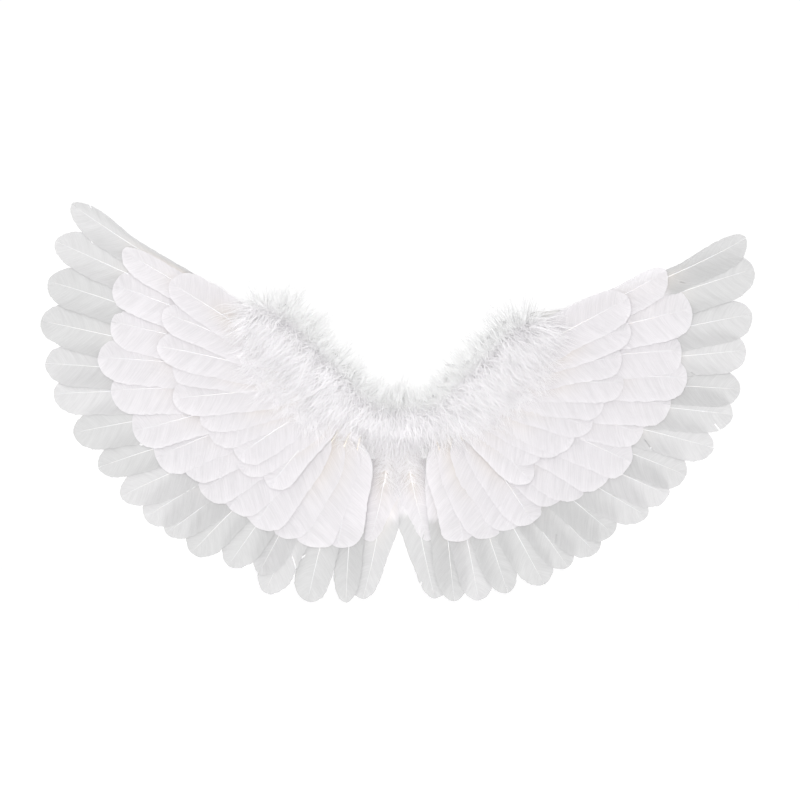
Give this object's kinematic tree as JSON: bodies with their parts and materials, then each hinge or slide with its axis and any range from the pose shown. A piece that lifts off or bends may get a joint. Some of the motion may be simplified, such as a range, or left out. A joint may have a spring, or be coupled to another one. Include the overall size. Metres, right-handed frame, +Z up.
{
  "type": "feather costume wings",
  "caption": "White feather costume wings: shingled feather fans on hinged boards, with a marabou trim and elastic shoulder loops.",
  "frame": {"origin": "middle of the back patch's outer face, which rests on the wearer's back", "axes": "+X to the right seen from the feathered side, +Y towards the wearer, +Z up"},
  "size_m": [0.603, 0.0425, 0.3395],
  "materials": {
    "card": "matt white card",
    "felt": "white felt",
    "thread": "white thread",
    "foam_strip": "white felt strip",
    "hinge_cloth": "white cotton tape",
    "feather": "white feather vanes",
    "down": "white marabou down",
    "wire": "plain steel wire",
    "soft_cap": "white soft plastic",
    "elastic": "white woven elastic"
  },
  "bodies": {
    "spine": {"centre_board": "card", "centre_back_felt": "felt", "centre_back_patch": "felt", "centre_patch_stitches": "thread", "centre_quill_strip": "foam_strip", "centre_outer_feathers": "feather", "centre_middle_feathers": "feather", "centre_marabou": "down", "centre_marabou_cord": "thread", "left_hinge_tape": "hinge_cloth", "right_hinge_tape": "hinge_cloth"},
    "left_wing": {"left_wing_board": "card", "left_back_felt": "felt", "left_frame_wire": "wire", "left_wire_end_cap": "soft_cap", "left_outer_quill_strip": "foam_strip", "left_middle_quill_strip": "foam_strip", "left_inner_quill_strip": "foam_strip", "left_outer_feathers": "feather", "left_middle_feathers": "feather", "left_inner_feathers": "feather", "left_marabou": "down", "left_marabou_cord": "thread", "left_strap_ends": "elastic", "left_strap_patches": "felt", "left_patch_stitches": "thread"},
    "right_wing": {"right_wing_board": "card", "right_back_felt": "felt", "right_frame_wire": "wire", "right_wire_end_cap": "soft_cap", "right_outer_quill_strip": "foam_strip", "right_middle_quill_strip": "foam_strip", "right_inner_quill_strip": "foam_strip", "right_outer_feathers": "feather", "right_middle_feathers": "feather", "right_inner_feathers": "feather", "right_marabou": "down", "right_marabou_cord": "thread", "right_strap_ends": "elastic", "right_strap_patches": "felt", "right_patch_stitches": "thread"},
    "left_strap": {"left_shoulder_strap": "elastic"},
    "right_strap": {"right_shoulder_strap": "elastic"}
  },
  "joints": [
    {"name": "left_wing_fold", "type": "hinge", "parent": "spine", "child": "left_wing", "pos_m": [-0.02015, -0.0054, 0.002], "axis": [0, 0, 1], "range_deg": [0, 85], "deforming": ["left_hinge_tape", "left_marabou", "left_marabou_cord", "centre_marabou", "centre_marabou_cord"]},
    {"name": "right_wing_fold", "type": "hinge", "parent": "spine", "child": "right_wing", "pos_m": [0.02015, -0.0054, 0.002], "axis": [0, 0, -1], "range_deg": [0, 85], "deforming": ["right_hinge_tape", "right_marabou", "right_marabou_cord", "centre_marabou", "centre_marabou_cord"]},
    {"name": "left_strap_swing", "type": "hinge", "parent": "left_wing", "child": "left_strap", "pos_m": [-0.046, -0.0006, 0.01], "axis": [0, 0, 1], "range_deg": [-35, 35], "stiffness_Nm_per_rad": 0.002},
    {"name": "right_strap_swing", "type": "hinge", "parent": "right_wing", "child": "right_strap", "pos_m": [0.046, -0.0006, 0.01], "axis": [0, 0, 1], "range_deg": [-35, 35], "stiffness_Nm_per_rad": 0.002}
  ]
}
